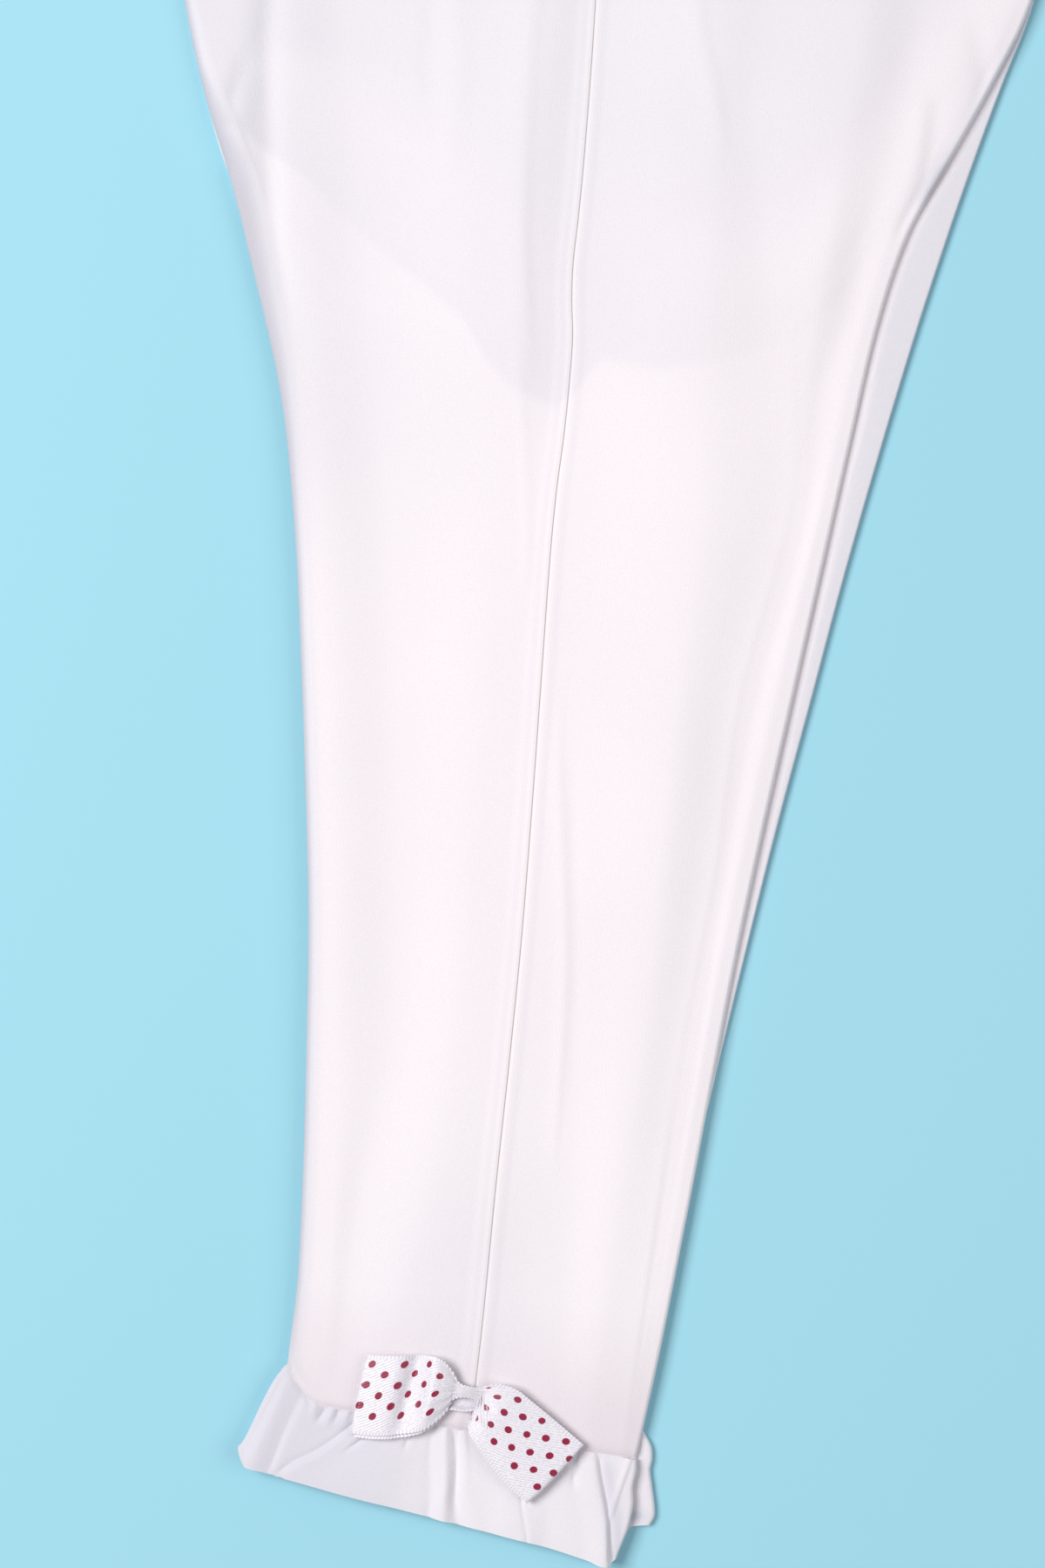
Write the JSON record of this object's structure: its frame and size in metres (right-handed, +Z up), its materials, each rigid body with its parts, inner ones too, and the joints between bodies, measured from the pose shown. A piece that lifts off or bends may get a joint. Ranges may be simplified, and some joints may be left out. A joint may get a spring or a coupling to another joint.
{
  "type": "capri pants",
  "caption": "Child's pull-on stretch-knit capri leggings laid on their side, folded in half, with gathered hem ruffles and a dotted ribbon bow at the hem.",
  "frame": {"origin": "on the surface that the garment lies on, under the crotch seam", "axes": "+Y along the legs towards the waist, +X towards the seat, +Z up from the surface"},
  "size_m": [0.2716, 0.6023, 0.0124],
  "materials": {
    "knit": "white cotton and elastane jersey, matt",
    "casing": "the same jersey folded over elastic, gathered",
    "ruffle": "the same jersey, gathered, in soft shade",
    "ribbon": "white satin ribbon with small crimson dots"
  },
  "bodies": {
    "root": {"left_front": "knit", "left_back": "knit", "right_front": "knit", "right_back": "knit", "waistband": "casing", "left_ruffle": "ruffle", "right_ruffle": "ruffle", "left_bow": "ribbon"}
  },
  "joints": []
}
